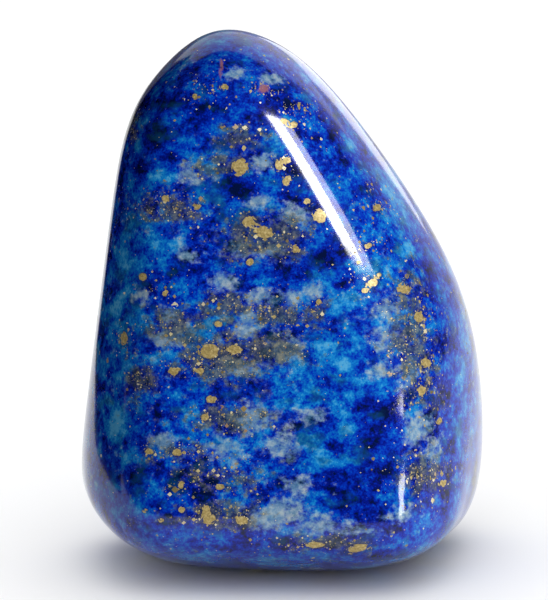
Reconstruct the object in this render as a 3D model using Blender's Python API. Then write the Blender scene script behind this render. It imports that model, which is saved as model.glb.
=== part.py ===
"""A polished lapis lazuli stone, about 39 mm tall, that stands upright on a small flat spot.

The rough piece was broken and ground to broad flats, then tumbled until every edge between them was
worn round. The model repeats that: a ball of square faces is pushed out to the flats below, their
meeting edges are worn by a soft maximum, and the spot that the stone rests on is cut level.
Metres, +Z up, +X to the right, -Y to the viewer. The origin is on the resting spot, near its middle.
"""

import math

import bmesh
import bpy
import numpy as np

MM = 0.001
STONE_NAME = "lapis_lazuli"

# Driving dimensions, in millimetres and degrees
CORE_HEIGHT = 16.0  # of the point that the flats are measured from, above the resting spot
WORN_EDGE = 1.25  # how far the tumbling wore the edges back; larger is rounder
LESS_AT_FRONT_FOOT = 0.35  # share of that wear missing below the front face
MORE_AT_BACK = 0.3  # and share added at the back
# The stone is taller than wide and wider than deep, and the square faces are shared out to suit
PROPORTIONS = (1.0, 0.8, 1.25)
CUTS_PER_SIDE = 28  # square faces along each side of the cube that the ball starts from
WEAR_STEPS = 14  # of Newton's method, which settles in fewer

# Each flat: azimuth of the way it faces (0 to the viewer, 90 to the right, 180 to the back),
# elevation above the horizontal, and distance from the core
FLATS = {
    "front": (0, 13, 9.3),
    "front_left": (-57, 8, 13.7),
    "left": (-91, 7, 13.9),
    "right_flank_upper": (46, 30, 13.0),
    "right_flank_lower": (50, 7, 13.1),
    "right_upper": (81, 36, 13.9),
    "right_shoulder": (81, 12, 14.3),
    "right": (80, -6, 15.6),
    "left_shoulder": (-83, 48, 21.3),
    "top_front": (-9, 56, 21.1),
    "top": (67, 71, 21.5),
    "top_back": (171, 35, 18.3),
    "back": (-178, 3, 12.3),
    "back_left": (-147, 7, 11.7),
    "back_right": (156, 11, 13.3),
    "base": (0, -90, 16.5),
    "left_foot": (-74, -50, 18.5),
    "right_foot": (60, -59, 18.7),
    "front_foot": (-5, -62, 16.8),
    "back_foot": (-179, -44, 15.9),
}

# Shallow hollows that the break left and the tumbling only softened: azimuth and elevation from
# the core, half width in degrees, and depth in millimetres
HOLLOWS = {
    "back_scar": (-164, 18, 18, 0.45),
    "back_lower": (148, -14, 13, 0.35),
    "left_back": (-132, -8, 12, 0.30),
    "right_back": (132, 10, 12, 0.30),
    "crown_back": (160, 45, 9, 0.20),
}

# The finish: polished ultramarine lazurite
STONE_COLOUR = (0.012, 0.055, 0.42, 1.0)
STONE_ROUGHNESS = 0.08


def facing(azimuth, elevation):
    """The unit vector of a flat that faces this way."""
    azimuth = math.radians(azimuth)
    elevation = math.radians(elevation)
    level = math.cos(elevation)
    return (math.sin(azimuth) * level, -math.cos(azimuth) * level, math.sin(elevation))


def eased(value, start, end):
    """0 at start, 1 at end, and smooth between."""
    share = np.clip((value - start) / (end - start), 0.0, 1.0)
    return share * share * (3 - 2 * share)


def wear_along(rays):
    """How far back the edges that each ray meets were worn, in millimetres."""
    frontness = -rays[:, 1]
    elevation = np.degrees(np.arcsin(rays[:, 2]))
    front_foot = eased(frontness, 0.05, 0.5) * eased(elevation, -12, -38)
    back = eased(frontness, 0.0, -0.6)
    return WORN_EDGE * (1 - LESS_AT_FRONT_FOOT * front_foot + MORE_AT_BACK * back)


def worn_reach(rays):
    """How far along each ray from the core the worn surface lies, in millimetres."""
    wear = wear_along(rays)
    normals = np.array([facing(azimuth, elevation) for azimuth, elevation, _ in FLATS.values()])
    distances = np.array([distance for _, _, distance in FLATS.values()])
    slopes = rays @ normals.T
    reach = 1.0 / (slopes / distances).max(axis=1)
    for _ in range(WEAR_STEPS):
        over = (reach[:, None] * slopes - distances) / wear[:, None]
        highest = over.max(axis=1, keepdims=True)
        share = np.exp(over - highest)
        total = share.sum(axis=1)
        outside = wear * (np.log(total) + highest[:, 0])
        reach -= outside / ((share * slopes).sum(axis=1) / total)
    return reach


def hollowed(rays, reach):
    """The reach along each ray with the shallow hollows taken off."""
    for azimuth, elevation, half_width, depth in HOLLOWS.values():
        nearness = np.clip(rays @ np.array(facing(azimuth, elevation)), -1.0, 1.0)
        away = np.degrees(np.arccos(nearness)) / half_width
        reach = reach - depth * np.exp(-away * away)
    return reach


def stone_mesh():
    """The worn stone as square faces, level at z = 0 where it rests."""
    bm = bmesh.new()
    bmesh.ops.create_cube(bm, size=2.0)
    bmesh.ops.subdivide_edges(bm, edges=bm.edges[:], cuts=CUTS_PER_SIDE - 1, use_grid_fill=True)
    corners = np.array([vert.co[:] for vert in bm.verts])
    # The tangent evens the faces out over the ball
    rays = np.tan(corners * math.pi / 4) * PROPORTIONS
    rays /= np.linalg.norm(rays, axis=1, keepdims=True)
    reach = hollowed(rays, worn_reach(rays))
    # A ray that passes through the resting spot stops there
    downward = np.minimum(rays[:, 2], -1e-6)
    reach = np.minimum(reach, -CORE_HEIGHT / downward)
    points = rays * reach[:, None]
    points[:, 2] = np.maximum(points[:, 2] + CORE_HEIGHT, 0.0)
    for vert, point in zip(bm.verts, points * MM):
        vert.co = point
    bmesh.ops.recalc_face_normals(bm, faces=bm.faces[:])
    mesh = bpy.data.meshes.new("stone")
    bm.to_mesh(mesh)
    bm.free()
    mesh.shade_smooth()
    return mesh


def polished_lapis():
    """Deep blue, dense and glossy from the polishing."""
    material = bpy.data.materials.new("polished_lapis")
    material.use_nodes = True
    finish = material.node_tree.nodes["Principled BSDF"]
    finish.inputs["Base Color"].default_value = STONE_COLOUR
    finish.inputs["Roughness"].default_value = STONE_ROUGHNESS
    finish.inputs["Metallic"].default_value = 0.0
    return material


def main():
    for old in list(bpy.data.objects):
        bpy.data.objects.remove(old, do_unlink=True)
    parts = bpy.data.collections.new(STONE_NAME)
    bpy.context.scene.collection.children.link(parts)
    stone = bpy.data.objects.new("stone", stone_mesh())
    stone.data.materials.append(polished_lapis())
    parts.objects.link(stone)


main()
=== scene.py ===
"""A polished lapis lazuli stone standing on a pale table, in soft studio light."""
import math
import random

import bmesh
import bpy
import numpy as np
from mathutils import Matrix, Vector
from mathutils.bvhtree import BVHTree


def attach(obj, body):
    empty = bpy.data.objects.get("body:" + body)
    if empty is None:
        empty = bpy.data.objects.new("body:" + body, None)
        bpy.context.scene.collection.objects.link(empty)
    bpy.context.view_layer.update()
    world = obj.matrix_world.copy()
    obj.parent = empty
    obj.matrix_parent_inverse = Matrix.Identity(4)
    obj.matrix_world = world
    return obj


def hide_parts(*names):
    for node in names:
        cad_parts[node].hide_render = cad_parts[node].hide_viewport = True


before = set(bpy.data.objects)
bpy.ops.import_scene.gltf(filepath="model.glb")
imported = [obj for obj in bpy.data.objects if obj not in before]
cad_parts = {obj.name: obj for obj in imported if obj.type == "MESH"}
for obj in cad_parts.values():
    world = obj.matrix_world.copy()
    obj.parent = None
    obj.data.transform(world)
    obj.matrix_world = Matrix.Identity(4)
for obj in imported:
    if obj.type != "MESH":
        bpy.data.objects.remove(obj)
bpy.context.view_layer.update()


# The camera
# A long lens, as for small stones, 12 degrees above level and square to the broad front face. The
# markings of the stone are placed through it, by where the photograph shows them.
MM = 0.001
CAMERA_LIFT = 12.0  # degrees above level
CAMERA_AWAY = 320 * MM
AIMED_AT = Vector((-0.41, 0.0, 19.54)) * MM  # near the middle of the stone
NEAREST_SEEN = 10 * MM
LENS = 260.5  # mm
FRAME_TALL = 36.0  # mm, behind that lens
PHOTO_WIDE = 548  # pixels
PHOTO_TALL = 600  # pixels
PIXEL = CAMERA_AWAY * FRAME_TALL / LENS / PHOTO_TALL  # what one pixel covers at the stone


def facing(azimuth, elevation):
    """The unit vector that points this way: azimuth 0 to the viewer, 90 to the right."""
    azimuth = math.radians(azimuth)
    elevation = math.radians(elevation)
    level = math.cos(elevation)
    return Vector((math.sin(azimuth) * level, -math.cos(azimuth) * level, math.sin(elevation)))


TO_CAMERA = facing(0, CAMERA_LIFT)
SEEN_RIGHT = Vector((1, 0, 0))
SEEN_UP = TO_CAMERA.cross(SEEN_RIGHT)
camera_data = bpy.data.cameras.new("camera")
camera_data.lens = LENS
camera_data.sensor_width = FRAME_TALL  # this goes to the longer side of a picture, here its height
camera_data.clip_start = NEAREST_SEEN
camera = bpy.data.objects.new("camera", camera_data)
camera.location = AIMED_AT + TO_CAMERA * CAMERA_AWAY
camera.rotation_euler = (math.radians(90 - CAMERA_LIFT), 0, 0)
bpy.context.scene.collection.objects.link(camera)
bpy.context.scene.camera = camera


# The stone
# Lapis lazuli: lazurite, white calcite and brassy pyrite grown together in layers. The piece was
# broken, ground to broad flats and tumbled until it shone, so its markings are flush with the face.
SEAM = 0.001 * MM  # corners nearer than this are one corner
MOST_FOLD = math.radians(30)  # between two triangles that make a square
MOST_SKEW = math.radians(60)  # of the corners of such a square
FINER = 2  # times that each square is split

merged = bmesh.new()
merged.from_mesh(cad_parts["stone"].data)
bmesh.ops.remove_doubles(merged, verts=merged.verts[:], dist=SEAM)
bmesh.ops.join_triangles(merged, faces=merged.faces[:], angle_face_threshold=MOST_FOLD,
                         angle_shape_threshold=MOST_SKEW)
squares = bpy.data.meshes.new("squares")
merged.to_mesh(squares)
merged.free()
stone = bpy.data.objects.new("polished_stone", squares)
bpy.context.scene.collection.objects.link(stone)
finer = stone.modifiers.new("finer", "SUBSURF")
finer.levels = FINER
finer.render_levels = FINER
depsgraph = bpy.context.evaluated_depsgraph_get()
stone.data = bpy.data.meshes.new_from_object(stone.evaluated_get(depsgraph))
stone.modifiers.clear()
stone.data.name = "polished_stone"
stone.data.shade_smooth()

# Where the photograph shows the markings: x, y, width and height in its pixels
CALCITE_CLOUDS = [
    (142, 295, 20, 14), (186, 254, 22, 16), (221, 281, 24, 16), (257, 295, 22, 16), (290, 297, 20, 14),
    (248, 327, 25, 23), (171, 339, 26, 16), (238, 364, 30, 16), (237, 246, 22, 16), (267, 249, 22, 14),
    (284, 350, 26, 20), (166, 316, 26, 14), (312, 288, 16, 14), (387, 310, 28, 24), (384, 341, 28, 20),
    (408, 373, 26, 20), (419, 428, 26, 28), (317, 419, 24, 18), (283, 444, 36, 24), (382, 370, 24, 18),
    (433, 451, 18, 26), (297, 485, 28, 20), (280, 515, 52, 24), (224, 447, 30, 18), (250, 420, 34, 18),
    (164, 441, 22, 14), (314, 524, 40, 16), (358, 530, 36, 12), (402, 515, 24, 18), (262, 162, 18, 12),
    (195, 178, 30, 18), (261, 198, 20, 14), (296, 214, 26, 20), (268, 78, 20, 10), (236, 75, 18, 10),
]
DUST_AND_REFLECTION_BANDS = [
    (240, 132, 50, 24), (215, 167, 44, 24), (172, 205, 60, 30), (265, 238, 84, 40), (225, 308, 44, 26),
    (288, 315, 66, 22), (175, 328, 52, 34), (222, 360, 76, 40), (142, 380, 26, 30), (270, 350, 60, 24),
    (225, 420, 70, 24), (175, 452, 52, 18), (210, 478, 72, 28), (218, 515, 66, 30), (330, 543, 84, 16),
    # The last band here, at the upper left, is not dust but a painted reflection: a grey strip on the left
    # flank where the polish mirrors something dark grey
    (415, 340, 48, 110), (422, 474, 44, 36), (135, 120, 16, 50),
]
AZURE_PATCHES = [
    (185, 162, 40, 44), (175, 232, 50, 18), (370, 305, 60, 90), (118, 435, 16, 24), (395, 190, 30, 60),
    (205, 330, 30, 16), (300, 395, 40, 24), (126, 300, 26, 120), (350, 380, 50, 50), (330, 455, 40, 40),
]
DEEP_PATCHES = [
    (158, 145, 44, 36), (225, 190, 120, 18), (175, 272, 50, 34), (355, 435, 56, 130), (192, 485, 46, 30),
    (220, 108, 110, 30), (310, 130, 30, 20), (430, 320, 20, 60), (260, 545, 60, 14), (300, 180, 24, 30),
    (330, 260, 30, 26), (270, 275, 60, 16),
]
PYRITE_CLUSTERS = [
    (238, 303, 16, 10), (219, 301, 12, 8), (244, 423, 22, 14), (222, 474, 48, 26), (208, 512, 22, 22),
    (242, 518, 16, 16), (142, 377, 18, 14), (124, 339, 12, 18), (160, 285, 28, 14), (282, 310, 50, 20),
    (180, 490, 20, 16), (177, 451, 36, 12), (372, 244, 26, 20), (424, 322, 18, 40), (424, 378, 22, 44),
    (172, 203, 44, 18), (262, 90, 26, 14), (300, 115, 26, 26), (378, 207, 26, 22), (285, 165, 18, 20),
    (365, 278, 24, 24), (300, 545, 60, 8), (425, 474, 40, 24), (200, 92, 22, 18), (205, 360, 40, 24),
]
RUSTY_VEINS = [(221, 69, 4, 18), (264, 89, 10, 7)]
MARKINGS = {"calcite": CALCITE_CLOUDS, "dust_and_reflection": DUST_AND_REFLECTION_BANDS, "azure": AZURE_PATCHES, "deep": DEEP_PATCHES,
            "cluster": PYRITE_CLUSTERS, "rust": RUSTY_VEINS}
# Single grains of pyrite, given the same way: x, y, width and height in pixels, tilt in degrees
PYRITE_GRAINS = [
    (209, 351, 19, 14, 0), (234, 350, 15, 8, 0), (174, 371, 12, 9, 10), (199, 371, 10, 6, 0),
    (264, 232, 18, 10, -5), (249, 222, 13, 10, 10), (240, 167, 16, 16, 30), (319, 216, 14, 13, 0),
    (307, 201, 7, 7, 0), (279, 165, 7, 10, 10), (287, 160, 8, 6, 0), (287, 181, 7, 11, -20),
    (296, 249, 8, 8, 0), (250, 262, 7, 7, 0), (143, 277, 8, 7, 0), (165, 293, 6, 6, 0),
    (124, 339, 8, 12, 0), (218, 324, 7, 6, 0), (212, 399, 12, 7, 0), (205, 417, 8, 6, 0),
    (177, 452, 9, 7, 0), (149, 452, 8, 6, 0), (219, 487, 10, 5, 0), (181, 485, 7, 9, 0),
    (208, 519, 13, 11, 0), (206, 508, 9, 7, 20), (241, 520, 13, 10, -10), (145, 511, 5, 4, 0),
    (161, 520, 6, 5, 0), (182, 510, 6, 6, 0), (315, 545, 18, 6, 0), (357, 549, 24, 8, 12),
    (404, 289, 13, 11, -20), (426, 363, 10, 9, 0), (422, 391, 10, 11, 0), (419, 317, 9, 11, 0),
    (443, 483, 9, 7, 0), (439, 421, 6, 6, 0), (377, 207, 8, 8, 30), (368, 246, 7, 5, 20),
    (372, 283, 11, 8, 20), (379, 275, 6, 5, 0), (365, 291, 6, 4, 0), (358, 262, 5, 4, 0),
    (294, 125, 9, 6, 20), (284, 121, 8, 5, -20), (299, 106, 3, 10, 0), (224, 87, 8, 6, 0),
    (195, 96, 5, 6, 0), (165, 198, 9, 7, 0), (197, 207, 8, 6, 20), (319, 302, 6, 6, 0),
]
DEEPER = 3  # times as deep into the stone as wide across it, so that a marking follows the round face

# The sides and the back, which the photograph doesn't show, have noise and strewn grains instead.
# How squarely a face looks at the camera decides: 1 is straight at it and 0 is edge on.
WELL_SEEN = 0.35
UNSEEN = 0.10
UNSEEN_GRAINS = 60
GRAIN_HALF_WIDTHS = (0.16, 0.62, 0.26)  # mm: the smallest, the largest and the most common
FLATTEST_GRAIN = 0.5  # its height as a share of its width
NUDGE = Vector((0.01, 0, 0))  # gives a grain on the very top or bottom a direction too
SEED = 7


def vectors_of(what):
    """This vector of every point of the stone's mesh, one to a row."""
    vectors = np.empty(len(stone.data.vertices) * 3)
    stone.data.vertices.foreach_get(what, vectors)
    return vectors.reshape(-1, 3)


points = vectors_of("co")
normals = vectors_of("normal")
squareness = normals @ np.array(TO_CAMERA)
stone_faces = BVHTree.FromPolygons([v.co for v in stone.data.vertices],
                                   [p.vertices for p in stone.data.polygons])


def surface_at(x, y):
    """The point of the stone under this pixel of the photograph."""
    way = SEEN_RIGHT * (x - PHOTO_WIDE / 2) * PIXEL - SEEN_UP * (y - PHOTO_TALL / 2) * PIXEL
    way -= TO_CAMERA * CAMERA_AWAY
    return stone_faces.ray_cast(camera.location, way.normalized())[0]


def measured_from(middle, right, up, half_wide, half_tall, half_deep):
    """Where each point of the stone is from this middle: right, up and outward, in half sizes."""
    offset = points - np.array(middle)
    return np.stack([offset @ np.array(right) / half_wide, offset @ np.array(up) / half_tall,
                     offset @ np.array(right.cross(up)) / half_deep], axis=1)


def spread_of(markings):
    """How strongly these markings show at each point of the stone, as a bell curve around each."""
    strength = np.zeros(len(points))
    for x, y, width, height in markings:
        apart = measured_from(surface_at(x, y), SEEN_RIGHT, SEEN_UP, width / 2 * PIXEL, height / 2 * PIXEL,
                              DEEPER * max(width, height) / 2 * PIXEL)
        strength = np.maximum(strength, np.exp(-0.5 * (apart ** 2).sum(axis=1)))
    return strength


def add_attribute(name, values):
    """Gives every point of the stone its own value under this name, for the material to read."""
    stone.data.attributes.new(name, "FLOAT", "POINT").data.foreach_set("value", values)


for name, markings in MARKINGS.items():
    add_attribute(name, spread_of(markings))
add_attribute("unseen", np.clip((WELL_SEEN - squareness) / (WELL_SEEN - UNSEEN), 0, 1))

# Each grain's middle, its two directions along the face and its two half sizes
grains = []
for x, y, width, height, tilt in PYRITE_GRAINS:
    turn = math.radians(tilt)
    right = SEEN_RIGHT * math.cos(turn) + SEEN_UP * math.sin(turn)
    grains.append((surface_at(x, y), right, TO_CAMERA.cross(right), width / 2 * PIXEL, height / 2 * PIXEL))
chance = random.Random(SEED)
unseen_points = np.flatnonzero(squareness < UNSEEN)
for _ in range(UNSEEN_GRAINS):
    chosen = int(unseen_points[chance.randrange(len(unseen_points))])
    outward = Vector(normals[chosen])
    right = (Vector((0, 0, 1)).cross(outward) + NUDGE).normalized()
    half_wide = chance.triangular(*GRAIN_HALF_WIDTHS) * MM
    half_tall = half_wide * chance.uniform(FLATTEST_GRAIN, 1)
    grains.append((Vector(points[chosen]), right, outward.cross(right), half_wide, half_tall))

# For every point of the stone, where it is in its nearest grain, whose edge is at 1
FAR_FROM_GRAINS = 12.0
in_grain = np.full((len(points), 2), FAR_FROM_GRAINS)
nearest = np.full(len(points), FAR_FROM_GRAINS)
for middle, right, up, half_wide, half_tall in grains:
    own = measured_from(middle, right, up, half_wide, half_tall, DEEPER * half_wide)
    apart = np.sqrt((own ** 2).sum(axis=1))
    closer = apart < nearest
    nearest[closer] = apart[closer]
    in_grain[closer] = own[closer, :2]
add_attribute("grain_across", in_grain[:, 0])
add_attribute("grain_up", in_grain[:, 1])
add_attribute("grain_apart", nearest)

# Polished lapis lazuli, ground and then tumbled with ever finer grit. That gives the eye a wet, glassy
# shine with sharp streaks of the lamps over deep blue, and duller, brassy glints where pyrite lies.
LAPIS_IOR = 1.5
LAPIS_SPECULAR = 0.4
LAPIS_ROUGHNESS = 0.09
PYRITE_ROUGHNESS = 0.4
PYRITE_METALLIC = 0.3
LAYER_TILT = math.radians(-6)
LAYER_SCALE = (0.72, 0.72, 1.0)  # patches in the nearly level layers are drawn out along them
CHIP_WIDE = 0.34  # mm, the bites along the edge of a single grain
SMALLEST_SPECK = 0.7  # of its layer's radius
LARGEST_SPECK = 1.3
RIPPLE_WIDE = 0.4  # mm, the faint waves that tumbling leaves
RIPPLE_HIGH = 0.002 * MM
RIPPLE_DETAIL = 3.0
DARK_TEAL = "#0A3A5C"
DARK_RIM = "#0C1848"
RUST_PINK = "#8C5A50"


def linear(hex_colour):
    """An sRGB hex colour as linear RGBA."""
    levels = [int(hex_colour[i:i + 2], 16) / 255 for i in (1, 3, 5)]
    return [v / 12.92 if v <= 0.04045 else ((v + 0.055) / 1.055) ** 2.4 for v in levels] + [1.0]


def add_node(tree, kind, inputs=None, **settings):
    """Adds a node. Each input is a value, or the output socket that it is linked to."""
    node = tree.nodes.new(kind)
    for name, value in settings.items():
        setattr(node, name, value)
    for socket, value in (inputs or {}).items():
        if isinstance(value, bpy.types.NodeSocket):
            tree.links.new(value, node.inputs[socket])
        else:
            node.inputs[socket].default_value = value
    return node


polished_lapis = bpy.data.materials.new("polished_lapis")
polished_lapis.use_nodes = True
tree = polished_lapis.node_tree

in_metres = add_node(tree, "ShaderNodeTexCoord").outputs["Object"]
in_mm = add_node(tree, "ShaderNodeVectorMath", {0: in_metres, "Scale": 1 / MM}, operation="SCALE").outputs[0]
layered = add_node(tree, "ShaderNodeMapping", {"Vector": in_mm, "Rotation": (0, LAYER_TILT, 0),
                                               "Scale": LAYER_SCALE}).outputs[0]
mark = {}
for name in (*MARKINGS, "unseen", "grain_across", "grain_up", "grain_apart"):
    mark[name] = add_node(tree, "ShaderNodeAttribute", attribute_name=name).outputs["Fac"]

# Noises: what each is laid on, the width of its patches in mm, its detail, roughness and seed
noise = {}
for name, laid_on, wide, detail, roughness, seed in (
        ("patches", layered, 1.5, 3.0, 0.5, 1.3),
        ("mottle", in_mm, 0.5, 4.0, 0.6, 5.1),
        ("grit", in_mm, 0.16, 2.0, 0.6, 2.2),
        ("cloud_edge", layered, 0.9, 5.0, 0.7, 7.7),
        ("dust_edge", layered, 0.7, 5.0, 0.7, 3.3),
        ("teal", layered, 1.4, 3.0, 0.6, 9.7),
        ("far_clouds", layered, 1.9, 3.0, 0.6, 12.4),
        ("far_dust", layered, 2.6, 3.0, 0.6, 15.9)):
    noise[name] = add_node(tree, "ShaderNodeTexNoise",
                           {"Vector": laid_on, "W": seed, "Scale": 1 / wide, "Detail": detail,
                            "Roughness": roughness}, noise_dimensions="4D").outputs[0]
chips = add_node(tree, "ShaderNodeTexVoronoi", {"Vector": in_mm, "Scale": 1 / CHIP_WIDE})
noise["chips"] = add_node(tree, "ShaderNodeSeparateColor", {"Color": chips.outputs["Color"]}).outputs[0]

# Ragged sums of noises, each by its weight. A noise averages a half, so the start that is worked out
# here makes the whole sum average the number beside its name.
ragged = {}
for name, average, weights in (
        ("tone", 0.43, {"patches": 2.0, "mottle": 1.3, "grit": 0.8}),
        ("calcite", 0.0, {"cloud_edge": 3.2, "mottle": 1.3}),
        ("dust_and_reflection", 0.0, {"dust_edge": 3.2, "mottle": 1.3}),
        ("grey", 0.5, {"mottle": 0.9, "grit": 0.5}),
        ("grain", 0.0, {"chips": 0.5, "grit": 0.6}),
        ("rust", 0.0, {"mottle": 1.4})):
    total = average - sum(weights.values()) / 2
    for source, weight in weights.items():
        total = add_node(tree, "ShaderNodeMath", {0: noise[source], 1: weight, 2: total},
                         operation="MULTIPLY_ADD").outputs[0]
    ragged[name] = total

# The placed patches lift the blue towards azure or sink it towards navy
for name, weight in (("azure", 0.26), ("deep", -0.22)):
    ragged["tone"] = add_node(tree, "ShaderNodeMath", {0: mark[name], 1: weight, 2: ragged["tone"]},
                              operation="MULTIPLY_ADD").outputs[0]

# Calcite clouds and bands of pyrite dust, with one painted reflection among the bands, lie where they are
# placed, and by noise on the unseen sides. The deepest blue keeps them thin.
THINNED_BY_DEEP = -0.5
FAR_STARTS = 0.48  # the noise at which a patch on the unseen sides begins to show
FAR_FULL = 0.64
for name, far in (("calcite", "far_clouds"), ("dust_and_reflection", "far_dust")):
    beyond = add_node(tree, "ShaderNodeMapRange",
                      {"Value": noise[far], "From Min": FAR_STARTS, "From Max": FAR_FULL},
                      interpolation_type="SMOOTHSTEP")
    beyond = add_node(tree, "ShaderNodeMath", {0: beyond.outputs[0], 1: mark["unseen"]},
                      operation="MULTIPLY")
    whole = add_node(tree, "ShaderNodeMath", {0: mark[name], 1: beyond.outputs[0]}, operation="MAXIMUM")
    whole = add_node(tree, "ShaderNodeMath", {0: mark["deep"], 1: THINNED_BY_DEEP, 2: whole.outputs[0]},
                     operation="MULTIPLY_ADD")
    ragged[name] = add_node(tree, "ShaderNodeMath", {0: ragged[name], 1: whole.outputs[0]},
                            operation="ADD").outputs[0]

# How far a point is from the middle of its nearest grain. Halfway between two grains the first measure
# crosses nought on its way from one to the other, and the second keeps gold out of there.
APART_SHARE = 0.7
from_middle = add_node(tree, "ShaderNodeCombineXYZ", {0: mark["grain_across"], 1: mark["grain_up"]})
from_middle = add_node(tree, "ShaderNodeVectorMath", {0: from_middle.outputs[0]}, operation="LENGTH")
apart_at_least = add_node(tree, "ShaderNodeMath", {0: mark["grain_apart"], 1: APART_SHARE},
                          operation="MULTIPLY")
from_middle = add_node(tree, "ShaderNodeMath", {0: from_middle.outputs["Value"],
                                                1: apart_at_least.outputs[0]}, operation="MAXIMUM")
for name, measure in (("grain", from_middle.outputs[0]), ("rust", mark["rust"])):
    ragged[name] = add_node(tree, "ShaderNodeMath", {0: ragged[name], 1: measure},
                            operation="ADD").outputs[0]

# How much of each colour shows: what it follows, where that starts and is full, the full share, and how
# it grows between them. A single grain ends more sharply than the rest.
share = {}
for name, follows, start, full, most, growth in (
        ("teal", noise["teal"], 0.52, 0.68, 0.6, "SMOOTHSTEP"),
        ("calcite", ragged["calcite"], 0.25, 1.0, 0.85, "SMOOTHSTEP"),
        ("dust_and_reflection", ragged["dust_and_reflection"], 0.3, 0.95, 0.8, "SMOOTHSTEP"),
        ("rim", ragged["grain"], 1.85, 0.95, 0.5, "SMOOTHSTEP"),
        ("grain", ragged["grain"], 0.97, 0.9, 1.0, "LINEAR"),
        ("rust", ragged["rust"], 0.4, 0.8, 0.8, "SMOOTHSTEP")):
    share[name] = add_node(tree, "ShaderNodeMapRange", {"Value": follows, "From Min": start,
                                                        "From Max": full, "To Max": most},
                           interpolation_type=growth).outputs[0]

# Pyrite specks in four layers, which crowd in the dusty bands, the painted reflection band among them, and
# the clusters. Each layer has the spacing of its specks in mm, the odds of one at each place on plain blue
# and how much those rise in a crowd, its radius in spacings and a shift that keeps it off the others.
CLUSTER_CROWD = 0.9
crowd = add_node(tree, "ShaderNodeMath", {0: mark["cluster"], 1: CLUSTER_CROWD, 2: share["dust_and_reflection"]},
                 operation="MULTIPLY_ADD").outputs[0]
specks = 0.0
speck_shade = 0.0
for spacing, few, many, radius, shift in (
        (0.115, 0.012, 0.20, 0.42, 21.0),
        (0.20, 0.012, 0.28, 0.45, 33.0),
        (0.34, 0.010, 0.26, 0.45, 47.0),
        (0.62, 0.004, 0.12, 0.38, 59.0)):
    shifted = add_node(tree, "ShaderNodeVectorMath", {0: in_mm, 1: (shift, shift, shift)}, operation="ADD")
    cells = add_node(tree, "ShaderNodeTexVoronoi", {"Vector": shifted.outputs[0], "Scale": 1 / spacing},
                     distance="MANHATTAN")
    dice = add_node(tree, "ShaderNodeSeparateColor", {"Color": cells.outputs["Color"]})
    odds = add_node(tree, "ShaderNodeMath", {0: crowd, 1: many, 2: few}, operation="MULTIPLY_ADD")
    there = add_node(tree, "ShaderNodeMath", {0: dice.outputs[0], 1: odds.outputs[0]},
                     operation="LESS_THAN")
    reach = add_node(tree, "ShaderNodeMath",
                     {0: dice.outputs[1], 1: radius * (LARGEST_SPECK - SMALLEST_SPECK),
                      2: radius * SMALLEST_SPECK}, operation="MULTIPLY_ADD")
    inside = add_node(tree, "ShaderNodeMath", {0: cells.outputs["Distance"], 1: reach.outputs[0]},
                      operation="LESS_THAN")
    speck = add_node(tree, "ShaderNodeMath", {0: there.outputs[0], 1: inside.outputs[0]},
                     operation="MULTIPLY").outputs[0]
    shade = add_node(tree, "ShaderNodeMath", {0: speck, 1: dice.outputs[2]}, operation="MULTIPLY").outputs[0]
    specks = add_node(tree, "ShaderNodeMath", {0: specks, 1: speck}, operation="MAXIMUM").outputs[0]
    speck_shade = add_node(tree, "ShaderNodeMath", {0: speck_shade, 1: shade},
                           operation="MAXIMUM").outputs[0]

# Each mineral's colours, by what picks among them
colour = {}
for name, follows, stops in (
        ("lazurite", ragged["tone"], ((0.0, "#000C34"), (0.2, "#001078"), (0.4, "#002AA0"),
                                      (0.58, "#0454A8"), (0.76, "#1074B6"), (1.0, "#4692BE"))),
        ("calcite", noise["mottle"], ((0.32, "#3E6A94"), (0.5, "#68889E"), (0.68, "#9CA8A8"))),
        # The dust colours also paint the grey reflection on the upper left flank
        ("dust_and_reflection", ragged["grey"], ((0.3, "#0A1834"), (0.5, "#343F44"), (0.7, "#66624E"))),
        ("speck", speck_shade, ((0.0, "#5E5434"), (0.35, "#8A784C"), (0.7, "#B0A06C"), (0.9, "#D4CAA6"),
                                (1.0, "#8A6A50"))),
        ("grain", noise["grit"], ((0.3, "#7A6B40"), (0.5, "#A08C56"), (0.7, "#C0AE7A")))):
    ramp = add_node(tree, "ShaderNodeValToRGB", {"Fac": follows})
    while len(ramp.color_ramp.elements) < len(stops):
        ramp.color_ramp.elements.new(1.0)
    for element, (position, hex_colour) in zip(ramp.color_ramp.elements, stops):
        element.position = position
        element.color = linear(hex_colour)
    colour[name] = ramp.outputs["Color"]

# From the blue up, each colour lies over those before it
body = colour["lazurite"]
for over, amount in (
        (linear(DARK_TEAL), share["teal"]),
        (colour["calcite"], share["calcite"]),
        (colour["dust_and_reflection"], share["dust_and_reflection"]),
        (linear(DARK_RIM), share["rim"]),
        (colour["speck"], specks),
        (colour["grain"], share["grain"]),
        (linear(RUST_PINK), share["rust"])):
    body = add_node(tree, "ShaderNodeMixRGB", {"Fac": amount, "Color1": body, "Color2": over}).outputs[0]

pyrite = add_node(tree, "ShaderNodeMath", {0: specks, 1: share["grain"]}, operation="MAXIMUM").outputs[0]
metallic = add_node(tree, "ShaderNodeMath", {0: pyrite, 1: PYRITE_METALLIC}, operation="MULTIPLY")
roughness = add_node(tree, "ShaderNodeMapRange", {"Value": pyrite, "To Min": LAPIS_ROUGHNESS,
                                                  "To Max": PYRITE_ROUGHNESS})
ripple = add_node(tree, "ShaderNodeTexNoise", {"Vector": in_mm, "Scale": 1 / RIPPLE_WIDE,
                                               "Detail": RIPPLE_DETAIL})
bump = add_node(tree, "ShaderNodeBump", {"Height": ripple.outputs[0], "Strength": 1.0,
                                         "Distance": RIPPLE_HIGH})
shader = tree.nodes["Principled BSDF"]
shader.inputs["IOR"].default_value = LAPIS_IOR
shader.inputs["Specular IOR Level"].default_value = LAPIS_SPECULAR
tree.links.new(body, shader.inputs["Base Color"])
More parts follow.
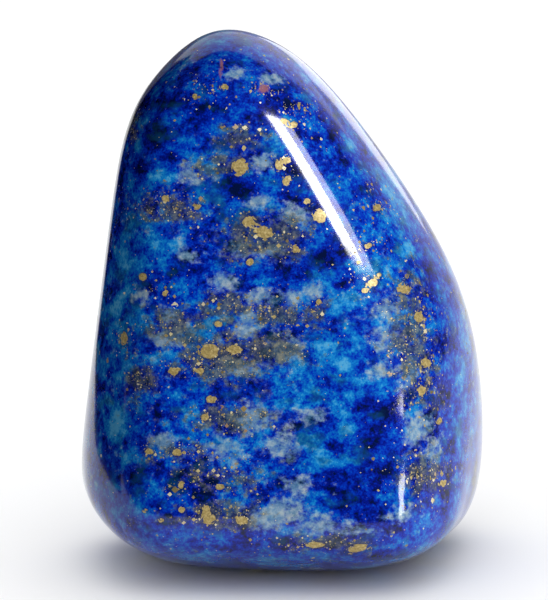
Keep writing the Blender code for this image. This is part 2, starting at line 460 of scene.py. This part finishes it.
tree.links.new(metallic.outputs[0], shader.inputs["Metallic"])
tree.links.new(roughness.outputs[0], shader.inputs["Roughness"])
tree.links.new(bump.outputs[0], shader.inputs["Normal"])
stone.data.materials.clear()
stone.data.materials.append(polished_lapis)
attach(stone, "root")
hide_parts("stone")


# The table
# A plain sheet of white card that the stone stands on, laid flat and wide enough to fill the view
# from every side.
TABLE_HALF = 1500 * MM
CARD_WHITE = "#F0F0F0"
CARD_ROUGHNESS = 0.7


def square_sheet(name, half):
    """A flat square sheet with its middle at the origin."""
    grid = bmesh.new()
    bmesh.ops.create_grid(grid, x_segments=1, y_segments=1, size=half)
    mesh = bpy.data.meshes.new(name)
    grid.to_mesh(mesh)
    grid.free()
    sheet = bpy.data.objects.new(name, mesh)
    bpy.context.scene.collection.objects.link(sheet)
    return sheet


table = square_sheet("table", TABLE_HALF)
# White uncoated card, pressed smooth but not glazed: an even white without shine, under soft shadows
white_card = bpy.data.materials.new("white_card")
white_card.use_nodes = True
card_shader = white_card.node_tree.nodes["Principled BSDF"]
card_shader.inputs["Base Color"].default_value = linear(CARD_WHITE)
card_shader.inputs["Roughness"].default_value = CARD_ROUGHNESS
table.data.materials.append(white_card)


# The black card
# A card covered in black velvet that stands at the left, out of the picture. The left flank mirrors it
# and not the white table, which would wash out its blue.
BLACK_CARD_HALF = 45 * MM
BLACK_CARD_AWAY = 80 * MM
BLACK_CARD_AZIMUTH = -122.5  # degrees
CLEAR_OF_TABLE = 1 * MM
VELVET_BLACK = "#060606"

black_card = square_sheet("black_card", BLACK_CARD_HALF)
card_side = facing(BLACK_CARD_AZIMUTH, 0)
black_card.location = card_side * BLACK_CARD_AWAY + Vector((0, 0, BLACK_CARD_HALF + CLEAR_OF_TABLE))
black_card.rotation_euler = card_side.to_track_quat("Z", "Y").to_euler()
black_card.visible_camera = False
black_card.visible_diffuse = False
black_card.visible_shadow = False
# Black cotton velvet: its pile takes in nearly all light, so it is a deep black without any shine
black_velvet = bpy.data.materials.new("black_velvet")
black_velvet.use_nodes = True
velvet_shader = black_velvet.node_tree.nodes["Principled BSDF"]
velvet_shader.inputs["Base Color"].default_value = linear(VELVET_BLACK)
velvet_shader.inputs["Roughness"].default_value = 1.0
velvet_shader.inputs["Specular IOR Level"].default_value = 0.0
black_card.data.materials.append(black_velvet)


# The lamps
# A softbox with a bright core and a lower lamp, at the right of the camera, put the streaks on the
# stone, and two softboxes behind it draw its rims. A long lamp overhead and broad daylight light only
# the table, so that the shadow stays soft.
DAYLIGHT_STRENGTH = 2.85
DAYLIGHT_SPREAD = math.radians(170)
DAYLIGHT_FROM = facing(-5, 62)


def light_only(lamp, piece):
    """Keeps this lamp's light to one piece."""
    lit = bpy.data.collections.new(lamp.name + "_lights")
    lit.objects.link(piece)
    lamp.light_linking.receiver_collection = lit


# Each lamp: azimuth and elevation in degrees, distance, width and height in mm, radiance, what it lights
for name, azimuth, elevation, away, width, height, radiance, piece in (
        ("key", 49, 35.5, 500, 200, 140, 12, stone),
        ("key_core", 44, 35.5, 480, 100, 125, 40, stone),
        ("low_strip", 57, 3, 500, 90, 90, 20, stone),
        ("rim", 163, 9, 700, 220, 160, 1.8, stone),
        ("behind", 172, 37, 700, 800, 500, 0.65, stone),
        ("over_table", 180, 88, 200, 200, 1000, 0.9, table)):
    softbox_data = bpy.data.lights.new(name, "AREA")
    softbox_data.shape = "RECTANGLE"
    softbox_data.size = width * MM
    softbox_data.size_y = height * MM
    softbox_data.energy = radiance * math.pi * width * height * MM * MM
    softbox = bpy.data.objects.new(name, softbox_data)
    softbox.location = AIMED_AT + facing(azimuth, elevation) * away * MM
    softbox.rotation_euler = facing(azimuth, elevation).to_track_quat("Z", "Y").to_euler()
    bpy.context.scene.collection.objects.link(softbox)
    light_only(softbox, piece)

daylight_data = bpy.data.lights.new("daylight", "SUN")
daylight_data.energy = DAYLIGHT_STRENGTH
daylight_data.angle = DAYLIGHT_SPREAD
daylight = bpy.data.objects.new("daylight", daylight_data)
daylight.rotation_euler = DAYLIGHT_FROM.to_track_quat("Z", "Y").to_euler()
bpy.context.scene.collection.objects.link(daylight)
light_only(daylight, table)


# The room
# A studio that is dark around the camera, so that the polish mirrors only the lamps there, and pale
# behind the stone, more so at the right. The picture itself shows it as an even near-white.
DARK_IN_FRONT = 0.03
PALE_BEHIND = 0.35
LEFT_SHARE = 0.4
RIGHT_SHARE = 2.2
BACKWARD_CHANGE = (0.5, 0.8)  # how far backward a way out of the room points where the change is
SIDEWAYS_CHANGE = (-0.1, 0.3)  # and how far to the right
SHOWN_AS = 0.9

room = bpy.data.worlds.new("room")
bpy.context.scene.world = room
room.use_nodes = True
walls = room.node_tree
walls.nodes.clear()
way_out = add_node(walls, "ShaderNodeTexCoord").outputs["Generated"]
way_out = add_node(walls, "ShaderNodeSeparateXYZ", {0: way_out})
backward = add_node(walls, "ShaderNodeMapRange",
                    {"Value": way_out.outputs["Y"], "From Min": BACKWARD_CHANGE[0],
                     "From Max": BACKWARD_CHANGE[1], "To Min": DARK_IN_FRONT, "To Max": PALE_BEHIND})
sideways = add_node(walls, "ShaderNodeMapRange",
                    {"Value": way_out.outputs["X"], "From Min": SIDEWAYS_CHANGE[0],
                     "From Max": SIDEWAYS_CHANGE[1], "To Min": LEFT_SHARE, "To Max": RIGHT_SHARE})
mirrored = add_node(walls, "ShaderNodeMath", {0: backward.outputs[0], 1: sideways.outputs[0]},
                    operation="MULTIPLY")
ray = add_node(walls, "ShaderNodeLightPath")
# Inputs 2 and 3 are the two strengths that the ray chooses between
strength = add_node(walls, "ShaderNodeMix", {0: ray.outputs["Is Camera Ray"], 2: mirrored.outputs[0],
                                             3: SHOWN_AS})
backdrop = add_node(walls, "ShaderNodeBackground", {"Color": linear("#FFFFFF"),
                                                    "Strength": strength.outputs[0]})
add_node(walls, "ShaderNodeOutputWorld", {"Surface": backdrop.outputs[0]})

bpy.context.scene.view_settings.view_transform = "Standard"
